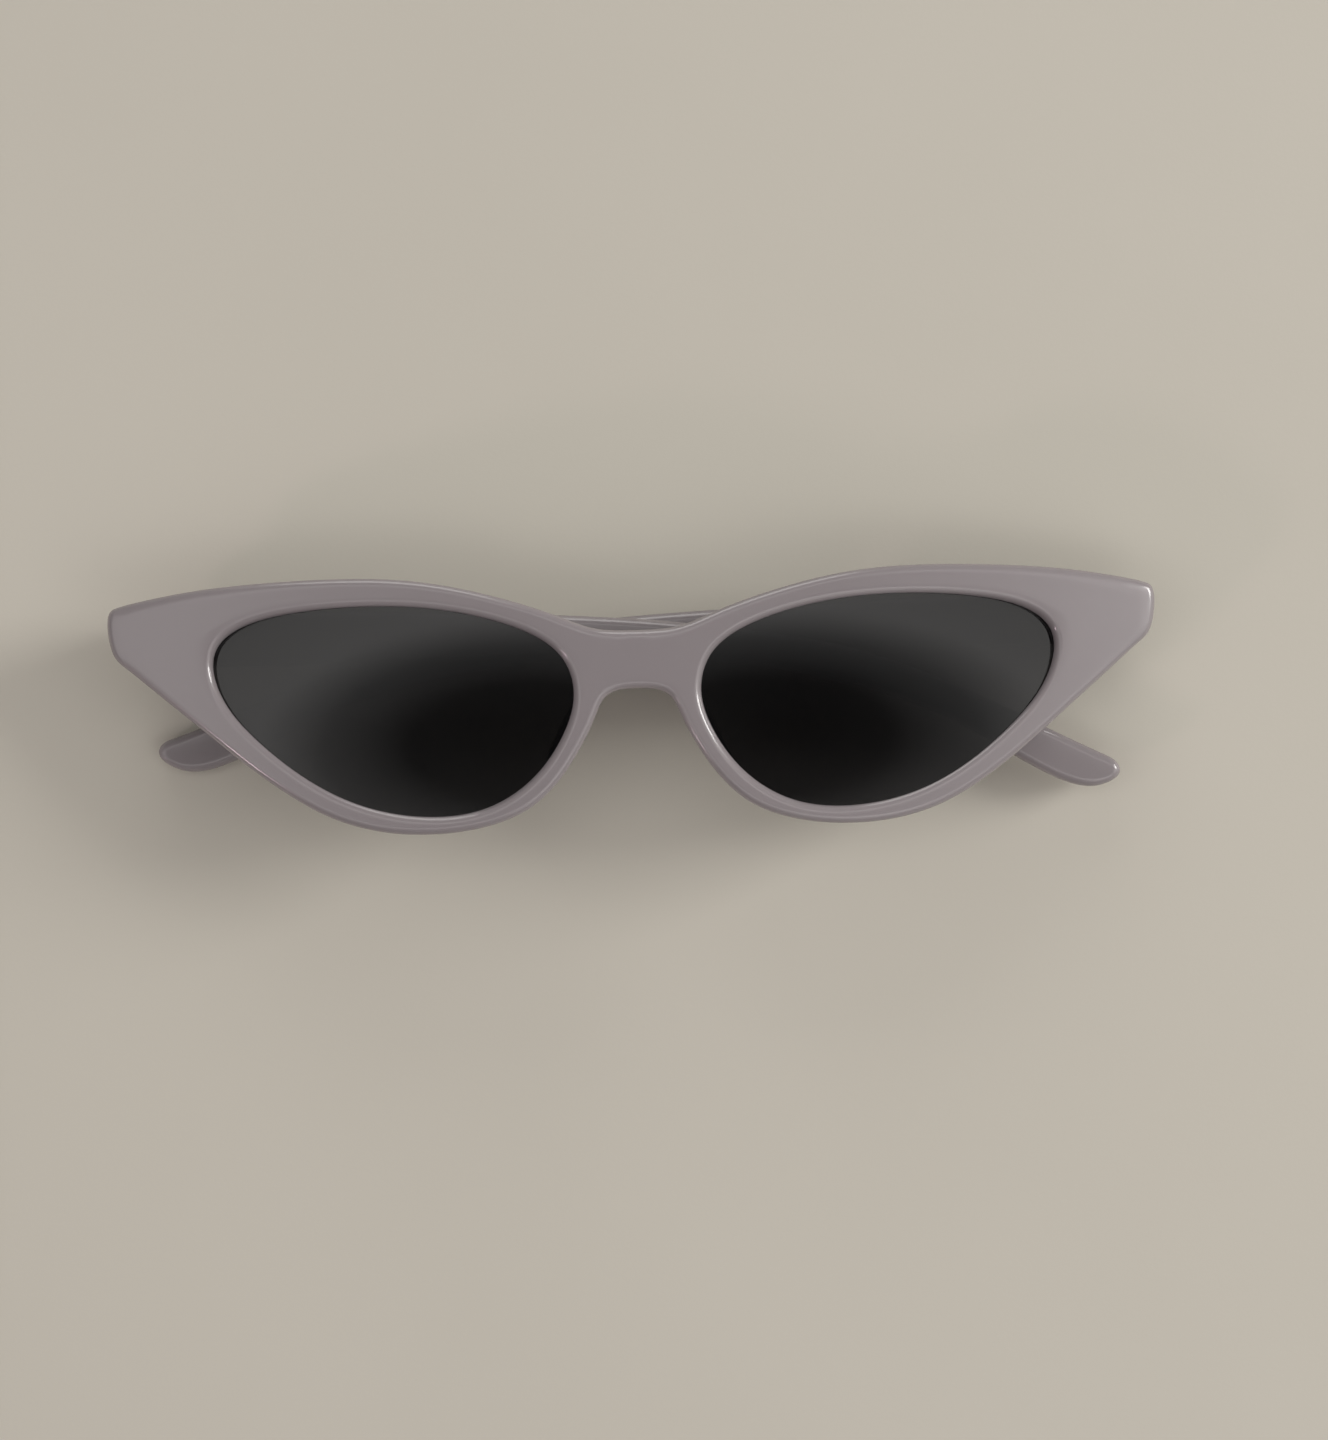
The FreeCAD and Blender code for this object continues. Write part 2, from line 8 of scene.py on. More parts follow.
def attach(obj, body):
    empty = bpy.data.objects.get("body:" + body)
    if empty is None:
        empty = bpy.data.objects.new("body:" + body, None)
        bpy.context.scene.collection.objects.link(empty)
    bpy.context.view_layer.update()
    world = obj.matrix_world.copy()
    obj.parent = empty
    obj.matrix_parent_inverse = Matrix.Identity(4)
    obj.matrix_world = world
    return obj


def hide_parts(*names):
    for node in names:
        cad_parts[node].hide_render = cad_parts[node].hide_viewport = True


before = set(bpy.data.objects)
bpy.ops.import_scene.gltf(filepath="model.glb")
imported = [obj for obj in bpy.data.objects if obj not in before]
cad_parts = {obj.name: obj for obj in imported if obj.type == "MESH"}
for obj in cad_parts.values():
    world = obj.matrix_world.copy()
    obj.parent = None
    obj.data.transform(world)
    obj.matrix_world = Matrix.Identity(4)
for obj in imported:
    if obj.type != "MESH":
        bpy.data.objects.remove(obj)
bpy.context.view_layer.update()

# ------------------------------------------------------------------ sizes, millimetres
FACE_R, RIM_DEPTH = 300.0, 4.0
END_PLANE, RAMP = 12.2, (58.6, 61.2)
EDGE_R, BACK_R, BACK_OPENING_R, BEVEL = 1.0, 0.7, 0.5, 1.1
LENS_R, LENS_THICK, LENS_BITE = 130.0, 1.8, 0.8
LENS_CLEAR, GROOVE_CLEAR, GROOVE_TOP = 0.04, 0.05, 0.03     # room round a lens in its groove
LENS_MID = (33.4, -6.7)
HINGE_X, HINGE_Y, HINGE_BACK = 66.5, 4.2, 2.1
KNUCKLE_R, STACK_HALF = 1.4, 2.375
LEAF_LENGTH, LEAF_THICK, PLAY, ROOM_OVER = 6.0, 0.9, 0.02, 1.0
TEMPLE_OUTER, TEMPLE_LEAF_START = 5.0, 1.7
RELIEF_R, RELIEF_ENDS = 1.55, (0.4, 0.75)
FOLD = {1: 1.8, -1: -1.4}
SIDES = {1: "left", -1: "right"}
SHIFT = Vector((0.3324, 5.971, 21.3818))
LAY = Matrix.Translation(SHIFT) @ Matrix.Rotation(math.radians(FOLD[1]), 4, "Y")

BROW = [(0, 3.5), (5.5, 3.85), (11, 5.85), (19.5, 8.7), (30, 10.95), (42, 11.6), (56, 11.05),
        (64.5, 10.05), (71.2, 8.75), (72.4, 8.15), (72.8, 7.0)]
END = [(72.7, 4.5), (71.85, 1.75), (70.0, 0.0), (66.05, -3.28), (62.1, -6.55), (58.15, -9.83)]
LOWER_RIM = [(54.2, -13.1), (48.3, -17.45), (42.2, -20.95), (35.5, -23.0), (28.5, -23.55),
             (21.5, -22.8), (15, -20.3), (10.6, -16.2), (8.2, -12.7), (6.5, -9.6), (5.4, -7.1),
             (4.4, -5.5), (2.6, -4.6), (0, -4.4)]
OPENING = [(8.7, -5.2), (9.9, -0.4), (13.6, 2.95), (20.3, 5.6), (28.3, 7.2), (37, 7.7), (46, 7.2),
           (53.6, 5.55), (57.3, 2.9), (58.05, -0.3), (56.4, -5.0), (52.3, -9.95), (45.8, -15.3),
           (38.0, -19.35), (29.2, -21.1), (21.0, -20.15), (14.5, -16.2), (10.4, -10.7)]
# Places on the outline and on a lens opening that face each other across the rim.
ACROSS = [((0, 3.5), (10.0, -0.2)), ((9, 5.0), (13.6, 2.95)), ((20, 8.9), (21.5, 5.95)),
          ((42, 11.6), (40.5, 7.6)), ((62, 10.3), (54.5, 5.2)), ((72.4, 8.15), (57.0, 3.2)),
          ((72.7, 4.5), (57.7, 1.9)), ((70, 0), (58.05, -0.3)), ((62.1, -6.55), (56.0, -5.8)),
          ((48.3, -17.45), (46.5, -14.8)), ((35.5, -23.0), (35.0, -20.2)),
          ((21.5, -22.8), (22.4, -20.5)), ((10.6, -16.2), (13.2, -14.9)), ((6.5, -9.6), (9.8, -9.2)),
          ((4.4, -5.5), (8.8, -6.3)), ((0, -4.4), (8.75, -4.6))]

TEMPLE_TOP = [(-2.0, 8.3), (20, 7.85), (45, 6.95), (66.5, 5.6), (82, 3.7), (96, 1.0), (108, -3.3),
              (124, -11.1), (132.0, -15.1)]
TEMPLE_UNDERSIDE = [(-2.0, 0.1), (20, 0.35), (45, 0.85), (66.5, 0.4), (84, -1.6), (98, -4.8),
                    (110, -9.4), (119.5, -15.0), (125.1, -18.2), (128.4, -19.5)]
EAR_TOP = [(133.3, -15.75), (134.2, -16.5), (134.6, -17.4)]
EAR_LOW = [(131.1, -19.75), (133.3, -19.1), (134.35, -18.3), (134.6, -17.4)]
EAR_TURN = (130.6, 128.4)           # where the ear's end starts, along the top and the underside
EAR_LIFT = {1: 6.0, -1: 0.0}        # the left ear is bent less
EAR_REACH, EAR_POWER = 134.0, 3.5   # where that lift is complete, and how late it comes in
EAR_R, TEMPLE_R = 1.3, 1.2          # rounding of an ear's end and along a temple
BUTT_R, BUTT_SHRINK = 0.9, 0.955    # the square end at the hinge, a little smaller than the temple,
BUTT_EASE_IN, BUTT_EASE_DEEP = 0.16, 0.18       # and how far its edge is eased along and across
TEMPLE_INNER = [(-2.0, 1.0), (9.0, 1.0), (24.0, 2.0), (100.0, 2.0), (115.0, 1.7), (136.0, 1.7)]


# ------------------------------------------------------------------ curves
FINE_PER_POINT = 60


def smooth_curve(points, count, closed=False):
    """Points evenly spaced along a smooth curve through the given ones."""
    pts = np.array(points, float)
    if closed:
        pts = np.vstack([pts, pts[:1]])
    step = np.sqrt(np.linalg.norm(np.diff(pts, axis=0), axis=1))
    at = np.concatenate([[0], np.cumsum(step)])
    n = len(pts)
    left, right = np.zeros((n, n)), np.zeros((n, pts.shape[1]))
    for i in range(1, n - 1):
        a, b = step[i - 1], step[i]
        left[i, i - 1:i + 2] = b, 2 * (a + b), a
        right[i] = 3 * (b * (pts[i] - pts[i - 1]) / a + a * (pts[i + 1] - pts[i]) / b)
    if closed:
        a, b = step[-1], step[0]
        left[0, [0, 1, -2]] = 2 * (a + b), a, b
        right[0] = 3 * (b * (pts[0] - pts[-2]) / a + a * (pts[1] - pts[0]) / b)
        left[-1, [0, -1]] = 1, -1
    else:
        left[0, :2], left[-1, -2:] = (2, 1), (1, 2)
        right[0] = 3 * (pts[1] - pts[0]) / step[0]
        right[-1] = 3 * (pts[-1] - pts[-2]) / step[-1]
    slope = np.linalg.solve(left, right)
    fine = np.linspace(0, at[-1], FINE_PER_POINT * n)
    k = np.clip(np.searchsorted(at, fine, side="right") - 1, 0, n - 2)
    width = step[k][:, None]
    u = (fine[:, None] - at[k][:, None]) / width
    out = (pts[k] * (1 + 2 * u) * (1 - u) ** 2 + slope[k] * width * u * (1 - u) ** 2
           + pts[k + 1] * u * u * (3 - 2 * u) + slope[k + 1] * width * u * u * (u - 1))
    return even(out, count, closed)


def even(points, count, closed=False):
    """The same line with evenly spaced points."""
    run = length_along(points)
    want = np.linspace(0, run[-1], count, endpoint=not closed)
    return np.stack([np.interp(want, run, points[:, i]) for i in range(points.shape[1])], axis=1)


def length_along(points):
    """Distance from the first point to each point, along the line."""
    return np.concatenate([[0], np.cumsum(np.linalg.norm(np.diff(points, axis=0), axis=1))])


def distance(points, line):
    """Distance from each point to a closed line, and the number of its nearest corner."""
    best = np.full(len(points), 1e9)
    which = np.zeros(len(points), int)
    following = np.roll(line, -1, axis=0)
    for i, (a, b) in enumerate(zip(line, following)):
        along = b - a
        u = np.clip(((points - a) @ along) / max(along @ along, 1e-12), 0, 1)
        gap = np.linalg.norm(points - a - u[:, None] * along, axis=1)
        closer = gap < best
        best[closer], which[closer] = gap[closer], i
    return best, which


# ------------------------------------------------------------------ surfaces of the front
def face_z(x):
    """The bowed outer face."""
    return np.sqrt(FACE_R ** 2 - x ** 2) - FACE_R


def back_z(x):
    """The back: a bowed surface that thickens smoothly into flat-backed end pieces."""
    bowed = np.sqrt((FACE_R - RIM_DEPTH) ** 2 - x ** 2) - FACE_R
    u = np.clip((np.abs(x) - RAMP[0]) / (RAMP[1] - RAMP[0]), 0, 1)
    u = u * u * (3 - 2 * u)
    return bowed * (1 - u) - END_PLANE * u


def lens_z(x, y, inset=0.0):
    """Outer surface of the left lens, or with inset a surface below it."""
    mx, my = LENS_MID
    lean = math.asin(mx / FACE_R)
    cx = mx - LENS_R * math.sin(lean)
    cz = float(face_z(np.array(mx))) - LENS_R * math.cos(lean)
    return cz + np.sqrt((LENS_R - inset) ** 2 - (x - cx) ** 2 - (y - my) ** 2)


def round_over(gap, radius):
    """How far a rounded edge has dropped at a distance from it."""
    u = np.clip(1 - gap / radius, 0, 1)
    return radius * (1 - np.sqrt(1 - u * u))


# ------------------------------------------------------------------ mesh helpers
WELD = 1e-4     # millimetres


def make(name, bm, body, material, replaces, place=None, sharp=38):
    """Turns a bmesh in millimetres into a piece that rides on a CAD body."""
    bmesh.ops.recalc_face_normals(bm, faces=bm.faces)
    for edge in bm.edges:
        if len(edge.link_faces) == 2:
            edge.smooth = edge.calc_face_angle(0) < math.radians(sharp)
    for face in bm.faces:
        face.smooth = True
    bm.transform(Matrix.Scale(0.001, 4) @ LAY @ (place or Matrix()))
    mesh = bpy.data.meshes.new(name)
    bm.to_mesh(mesh)
    bm.free()
    piece = bpy.data.objects.new(name, mesh)
    bpy.context.scene.collection.objects.link(piece)
    mesh.materials.append(material)
    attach(piece, body)
    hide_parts(*replaces)
    return piece


def grid(bm, rows, closed_cols=True):
    """Quads between rows of vertices."""
    count = len(rows[0])
    for low, high in zip(rows, rows[1:]):
        for i in range(count if closed_cols else count - 1):
            j = (i + 1) % count
            bm.faces.new((low[i], low[j], high[j], high[i]))


def loop_of(bm, points):
    """New vertices at the points."""
    return [bm.verts.new(p) for p in points]


def loft(bm, sections):
    """A closed solid through rings of points, with flat ends."""
    rows = [loop_of(bm, section) for section in sections]
    grid(bm, rows)
    bm.faces.new(rows[0])
    bm.faces.new(rows[-1][::-1])


def boxed(bm, low, high):
    """A box between two corners."""
    (x0, y0, z0), (x1, y1, z1) = low, high
    loft(bm, [[(x, y, z) for x, y in ((x0, y0), (x1, y0), (x1, y1), (x0, y1))] for z in (z0, z1)])


def turned(bm, middle, radius, y0, y1, count=48):
    """A round bar along y."""
    x, z = middle
    ring = [(radius * math.cos(2 * math.pi * i / count), radius * math.sin(2 * math.pi * i / count))
            for i in range(count)]
    loft(bm, [[(x + a, y, z + b) for a, b in ring] for y in (y0, y1)])


def scratch(bm, name):
    """A hidden object for one boolean step."""
    bmesh.ops.recalc_face_normals(bm, faces=bm.faces)
    mesh = bpy.data.meshes.new(name)
    bm.to_mesh(mesh)
    bm.free()
    thing = bpy.data.objects.new(name, mesh)
    bpy.context.scene.collection.objects.link(thing)
    return thing


def combine(base, tools):
    """base with each (operation, tool) applied, as a new bmesh; the inputs are used up."""
    body = scratch(base, "boolean_base")
    helpers = []
    for i, (operation, tool) in enumerate(tools):
        helper = scratch(tool, f"boolean_tool_{i}")
        helpers.append(helper)
        step = body.modifiers.new(f"step_{i}", "BOOLEAN")
        step.operation, step.object, step.solver = operation, helper, "EXACT"
    bpy.context.view_layer.update()
    graph = bpy.context.evaluated_depsgraph_get()
    result = bmesh.new()
    result.from_mesh(body.evaluated_get(graph).to_mesh())
    for thing in helpers + [body]:
        mesh = thing.data
        bpy.data.objects.remove(thing)
        bpy.data.meshes.remove(mesh)
    bmesh.ops.remove_doubles(result, verts=result.verts, dist=WELD)
    bmesh.ops.dissolve_degenerate(result, dist=WELD, edges=result.edges)
    return result


# ------------------------------------------------------------------ the front
OUTLINE_COUNT, CENTRE_MIDDLE = 400, 9
OUTLINE_FINE, OPENING_FINE = 6000, 2400
SMOOTH_HALF = 15        # spokes on each side that even out a spoke's direction
ARC_STEP = 15           # degrees between the points of a rounded edge
RIM_FULL = 0.97         # the share of a narrow rim that its roundings may take
WALL_STEPS = (0.33, 0.67)
BEVEL_STEPS = (0.0, 0.02, 0.07, 0.16, 0.3, 0.48, 0.7, 0.9, 1.1)
MIDDLE_STEPS = 7


def outline_and_opening():
    """The whole outline, its left half from brow to bridge, and the left lens opening."""
    right = BROW + END + LOWER_RIM
    whole = right + [(-x, y) for x, y in right[-2:0:-1]]
    fine = smooth_curve(whole, OUTLINE_FINE, closed=True)
    half = fine[fine[:, 0] >= -1e-6]
    start = np.argmin(np.linalg.norm(half - np.array(right[0]), axis=1))
    half = np.roll(half, -start, axis=0)
    if half[5, 0] < half[0, 0] or half[5, 1] < 0 and half[5, 0] < 1:
        half = half[::-1]
    half[0], half[-1] = (0.0, half[0, 1]), (0.0, half[-1, 1])
    opening = smooth_curve(OPENING, OPENING_FINE, closed=True)
    return fine, half, opening


def rim_spokes():
    """For one half: points round the outside (outline, centre line) and those across from them."""
    whole, half, opening = outline_and_opening()
    outer = even(half, OUTLINE_COUNT)
    steps = EDGE_R * (1 - np.cos(np.radians(np.arange(ARC_STEP, 91, ARC_STEP))))
    low, high = outer[-1, 1], outer[0, 1]
    between = np.linspace(low + EDGE_R, high - EDGE_R, CENTRE_MIDDLE + 2)[1:-1]
    rise = np.concatenate([low + steps, between, (high - steps)[::-1]])
    centre = np.stack([np.zeros(len(rise)), rise], axis=1)
    outer_run, opening_run = length_along(outer), length_along(np.vstack([opening, opening[:1]]))
    keys_out, keys_in = [], []
    for out_point, in_point in ACROSS:
        keys_out.append(outer_run[np.argmin(np.linalg.norm(outer - np.array(out_point), axis=1))])
        keys_in.append(opening_run[np.argmin(np.linalg.norm(opening - np.array(in_point), axis=1))])
    around = opening_run[-1]
    keys_in = np.unwrap(np.array(keys_in) / around * 2 * np.pi) / (2 * np.pi) * around
    at = np.interp(outer_run, keys_out, keys_in)
    window = 2 * SMOOTH_HALF + 1
    soften = np.ones(window) / window
    padded = np.concatenate([2 * at[0] - at[SMOOTH_HALF:0:-1], at,
                             2 * at[-1] - at[-2:-SMOOTH_HALF - 2:-1]])
    at = np.convolve(padded, soften, mode="valid")
    rest = np.linspace(at[-1], at[0] + around, len(centre) + 2)[1:-1]
    at = np.concatenate([at, rest]) % around
    closed = np.vstack([opening, opening[:1]])
    inner = np.stack([np.interp(at, opening_run, closed[:, i]) for i in range(2)], axis=1)
    return whole[::6], opening[::4], np.vstack([outer, centre]), inner


def front_half(bm, side, whole, opening, outer, inner):
    """One half of the front, as a skin open along the centre line."""
    spokes, on_outline = len(outer), OUTLINE_COUNT
    width = np.linalg.norm(outer - inner, axis=1)
    reach = np.minimum(1.0, RIM_FULL * width / (EDGE_R + BEVEL))
    edge_steps = EDGE_R * (1 - np.cos(np.radians(np.arange(90, -1, -ARC_STEP))))
    flat = []
    for a in BEVEL_STEPS:
        flat.append(inner + (outer - inner) * (a * reach / width)[:, None])
    for k in range(1, MIDDLE_STEPS + 1):
        u = k / (MIDDLE_STEPS + 1)
        a = (BEVEL * reach) * (1 - u) + (width - EDGE_R * reach) * u
        flat.append(inner + (outer - inner) * (a / width)[:, None])
    for a in edge_steps:
        flat.append(outer - (outer - inner) * (a * reach / width)[:, None])
    everything = np.concatenate(flat)
    gap_out, _ = distance(everything, whole)
    gap_in, nearest = distance(everything, opening)
    lens_depth = face_z(opening[:, 0]) - lens_z(opening[:, 0], opening[:, 1]) - LENS_CLEAR
    bevel = lens_depth[nearest] * round_over(gap_in / BEVEL, 1.0)
    top = face_z(everything[:, 0]) - np.maximum(round_over(gap_out, EDGE_R), 0) - bevel
    bottom = (back_z(everything[:, 0]) + round_over(gap_out, BACK_R)
              + round_over(gap_in, BACK_OPENING_R))
    top, bottom = top.reshape(len(flat), spokes), bottom.reshape(len(flat), spokes)

    def ring(points, heights):
        return loop_of(bm, [(side * p[0], p[1], h) for p, h in zip(points, heights)])

    top_rows = [ring(p, h) for p, h in zip(flat, top)]
    bottom_rows = [ring(p, h) for p, h in zip(flat, bottom)]
    grid(bm, top_rows)
    grid(bm, bottom_rows)
    wall = [top_rows[-1][:on_outline]]
    for u in WALL_STEPS:
        heights = top[-1] * (1 - u) + bottom[-1] * u
        wall.append(ring(outer[:on_outline], heights[:on_outline]))
    wall.append(bottom_rows[-1][:on_outline])
    grid(bm, wall, closed_cols=False)

    along = np.roll(inner, -1, axis=0) - np.roll(inner, 1, axis=0)
    away = np.stack([along[:, 1], -along[:, 0]], axis=1)
    away /= np.maximum(np.linalg.norm(away, axis=1), 1e-9)[:, None]
    if np.mean(np.sum(away * (inner - np.array(LENS_MID)), axis=1)) < 0:
        away = -away
    deep = inner + away * (LENS_BITE + GROOVE_CLEAR)
    inside = [bottom_rows[0]]
    inside.append(ring(inner, lens_z(inner[:, 0], inner[:, 1], LENS_THICK) - LENS_CLEAR))
    inside.append(ring(deep, lens_z(deep[:, 0], deep[:, 1], LENS_THICK) - LENS_CLEAR))
    inside.append(ring(deep, lens_z(deep[:, 0], deep[:, 1]) + GROOVE_TOP))
    inside.append(top_rows[0])
    grid(bm, inside)


PAD_ALONG, PAD_MID, PAD_HALF = (0.447, 0.894), (8.9, -11.0), (3.5, 1.15)
PAD_TOP, PAD_BACK, PAD_LEAN = -2.2, -9.6, 1.5
# Height of each section, how much longer it is than the pad, and its flare.
PAD_LEVELS = [(-2.6, 0.0, 0.9), (-3.7, 0.1, 0.7), (-4.1, 0.08, 0.42), (-4.6, 0.02, 0.2),
              (-5.2, 0.0, 0.06), (-6.0, -0.1, 0.0), (-7.5, -0.35, -0.05), (-8.6, -0.6, -0.12),
              (-9.1, -0.85, -0.25), (-9.4, -1.2, -0.5), (-9.55, -1.55, -0.8)]


def nose_pad(side):
    """A moulded pad: a rounded flange behind the nasal side of a rim, with a flared root."""
    bm = bmesh.new()
    along = Vector((-side * PAD_ALONG[0], PAD_ALONG[1], 0))
    away = Vector((side * PAD_ALONG[1], PAD_ALONG[0], 0))
    middle = Vector((side * PAD_MID[0], PAD_MID[1], 0))
    sections = []
    for z, longer, flare in PAD_LEVELS:
        lean = PAD_LEAN * (z - PAD_TOP) / (PAD_BACK - PAD_TOP)
        half, thick = PAD_HALF[0] + longer, PAD_HALF[1] + 0.5 * flare
        centre = middle + away * (lean + 0.5 * max(flare, 0.0))
        ring = []
        for end in (1, -1):
            for i in range(13):
                turn = math.radians(-90 + 15 * i)
                ring.append(centre + end * along * half + end * along * thick * math.cos(turn)
                            + end * away * thick * math.sin(turn))
        sections.append([(p.x, p.y, z) for p in ring])
    loft(bm, sections)
    return bm


def leaf_rooms(side):
    """Room in the end piece for the hinge leaf."""
    bm = bmesh.new()
    outer = HINGE_X + KNUCKLE_R + PLAY
    xs = sorted((side * outer, side * (outer - LEAF_LENGTH - 2 * PLAY)))
    boxed(bm, (xs[0], HINGE_Y - STACK_HALF - PLAY, -END_PLANE - ROOM_OVER),
          (xs[1], HINGE_Y + STACK_HALF + PLAY, -END_PLANE + LEAF_THICK + PLAY))
    return bm


def build_front(material):
    """The one-piece front: two mirrored halves, the pads, and room for the hinge leaves."""
    whole, opening, outer, inner = rim_spokes()
    bm = bmesh.new()
    for side in (1, -1):
        front_half(bm, side, whole, opening, outer, inner)
    bmesh.ops.remove_doubles(bm, verts=bm.verts, dist=WELD)
    tools = []
    for side in (1, -1):
        tools.append(("UNION", nose_pad(side)))
        tools.append(("DIFFERENCE", leaf_rooms(side)))
    bm = combine(bm, tools)
    return make("front_moulding", bm, "front", material, replaces=["front_frame"])


# ------------------------------------------------------------------ lenses
LENS_RINGS = (1.0, 0.985, 0.94, 0.87, 0.78, 0.67, 0.55, 0.43, 0.31, 0.2, 0.1, 0.03)


def build_lens(side, material):
    """A lens of even thickness that reaches into its groove."""
    bm = bmesh.new()
    loop = smooth_curve(OPENING, 260, closed=True)
    along = np.roll(loop, -1, axis=0) - np.roll(loop, 1, axis=0)
    away = np.stack([along[:, 1], -along[:, 0]], axis=1)
    away /= np.linalg.norm(away, axis=1)[:, None]
    middle = np.array(LENS_MID)
    if np.mean(np.sum(away * (loop - middle), axis=1)) < 0:
        away = -away
    edge = loop + away * LENS_BITE
    tops, bottoms = [], []
    for k in LENS_RINGS:
        ring = middle + (edge - middle) * k
        for rows, inset in ((tops, 0.0), (bottoms, LENS_THICK)):
            heights = lens_z(ring[:, 0], ring[:, 1], inset)
            rows.append(loop_of(bm, [(side * p[0], p[1], h) for p, h in zip(ring, heights)]))
    grid(bm, tops[::-1] + bottoms)
    bm.faces.new(tops[-1])
    bm.faces.new(bottoms[-1])
    name = f"lens_{SIDES[side]}"
    return make(f"{name}_tinted", bm, "front", material, replaces=[name])


# ------------------------------------------------------------------ temples
MOST_ROUND = 0.49                               # a rounding's largest share of a section's side
LINE_FINE, LINE_COUNT = 3000, 140               # points along a temple's top and underside
EAR_COUNT, EAR_USED, EAR_CROWD = 24, 22, 1.8    # points round the ear's end, closer towards its tip


def temple_section(low, high, inner, outer, radius, corner=6):
    """A rounded rectangle across the temple, as pairs of a side-view point and a depth."""
    along = high - low
    height = np.linalg.norm(along)
    unit = along / max(height, 1e-9)
    radius = min(radius, MOST_ROUND * height, MOST_ROUND * (outer - inner))
    ring = []
    for cx, cy, start in ((height - radius, outer - radius, 0), (radius, outer - radius, 90),
                          (radius, inner + radius, 180), (height - radius, inner + radius, 270)):
        for i in range(corner + 1):
            turn = math.radians(start + 90 * i / corner)
            h = cx + radius * math.cos(turn)
            w = cy + radius * math.sin(turn)
            ring.append((low + unit * h, w))
    return ring


def temple_lines(side):
    """The top and the underside as facing points that meet at the end of the ear."""
    lines = []
    ear_steps = 1 - (1 - np.arange(1, EAR_USED) / EAR_COUNT) ** EAR_CROWD
    for line, turn in zip((TEMPLE_TOP + EAR_TOP, TEMPLE_UNDERSIDE + EAR_LOW), EAR_TURN):
        raised = [(s, y + EAR_LIFT[side] * (max(s, 0.0) / EAR_REACH) ** EAR_POWER) for s, y in line]
        fine = smooth_curve(raised, LINE_FINE)
        run = length_along(fine)
        corner = run[np.argmax(fine[:, 0] >= turn)]
        ear = corner + (run[-1] - corner) * ear_steps
        want = np.concatenate([np.linspace(0, corner, LINE_COUNT), ear])
        lines.append(np.stack([np.interp(want, run, fine[:, i]) for i in range(2)], axis=1))
    return lines, fine[-1]


def build_temple(side, material):
    """A temple drawn straight back from its hinge and then folded in."""
    bm = bmesh.new()
    (top, low), apex = temple_lines(side)
    inner_s, inner_w = zip(*TEMPLE_INNER)
    stations = []
    for k, (a, b) in enumerate(zip(low, top)):
        mid = 0.5 * (a + b)
        inner = np.interp(mid[0], inner_s, inner_w)
        if k == 0:
            ends = [mid + (p - mid) * BUTT_SHRINK for p in (a, b)]
            eased = inner + BUTT_EASE_DEEP, TEMPLE_OUTER - BUTT_EASE_DEEP
            stations.append(temple_section(*ends, *eased, BUTT_R))
            a, b = a + (BUTT_EASE_IN, 0), b + (BUTT_EASE_IN, 0)
        thin = round_over(np.linalg.norm(mid - apex), EAR_R)
        stations.append(temple_section(a, b, inner + thin, TEMPLE_OUTER - thin, TEMPLE_R))
    level = -END_PLANE - HINGE_BACK
    loft(bm, [[(side * (HINGE_X - p[0]), p[1], level - w) for p, w in ring] for ring in stations])

    room = bmesh.new()
    xs = sorted((side * HINGE_X, side * (HINGE_X - TEMPLE_LEAF_START - LEAF_LENGTH - PLAY)))
    boxed(room, (xs[0], HINGE_Y - STACK_HALF - PLAY, level - ROOM_OVER - LEAF_THICK - PLAY),
          (xs[1], HINGE_Y + STACK_HALF + PLAY, level))
    relief = bmesh.new()
    turned(relief, (side * HINGE_X, level), RELIEF_R, HINGE_Y - STACK_HALF - RELIEF_ENDS[0],
           HINGE_Y + STACK_HALF + RELIEF_ENDS[1])
    bm = combine(bm, [("DIFFERENCE", room), ("DIFFERENCE", relief)])
    pivot = Matrix.Translation((side * HINGE_X, 0, level))
    fold = pivot @ Matrix.Rotation(math.radians(-side * FOLD[side]), 4, "Y") @ pivot.inverted()
    name = f"temple_{SIDES[side]}"
    return make(f"{name}_moulding", bm, f"{SIDES[side]}_temple", material, replaces=[name],
                place=fold)


# ------------------------------------------------------------------ materials
def material(name):
    """A new material, with its node tree and its main shader."""
    made = bpy.data.materials.new(name)
    made.use_nodes = True
    tree = made.node_tree
    shader = tree.nodes["Principled BSDF"]
    return made, tree, shader


def node(tree, kind, operation=None):
    """A new shader node."""
    made = tree.nodes.new(kind)
    if operation:
        made.operation = operation
    return made


def noise(tree, scale, detail=3.0, rough=0.5):
    """Noise fixed to the object."""
    where = node(tree, "ShaderNodeTexCoord")
    made = node(tree, "ShaderNodeTexNoise")
    made.inputs["Scale"].default_value = scale
    made.inputs["Detail"].default_value = detail
    made.inputs["Roughness"].default_value = rough
    tree.links.new(where.outputs["Object"], made.inputs["Vector"])
    return made


def ramp(tree, source, stops):
    """Colours between stops, picked by a source value."""
    made = node(tree, "ShaderNodeValToRGB")
    tree.links.new(source, made.inputs["Fac"])
    points = made.color_ramp.elements
    while len(points) < len(stops):
        points.new(0.5)
    for point, (at, colour) in zip(points, stops):
        point.position = at
        point.color = (*colour, 1.0) if len(colour) == 3 else colour
    return made.outputs["Color"]


def bump(tree, shader, source, strength, depth):
    """Very fine surface relief."""
    made = node(tree, "ShaderNodeBump")
    made.inputs["Strength"].default_value = strength
    made.inputs["Distance"].default_value = depth
    tree.links.new(source, made.inputs["Height"])
    tree.links.new(made.outputs["Normal"], shader.inputs["Normal"])


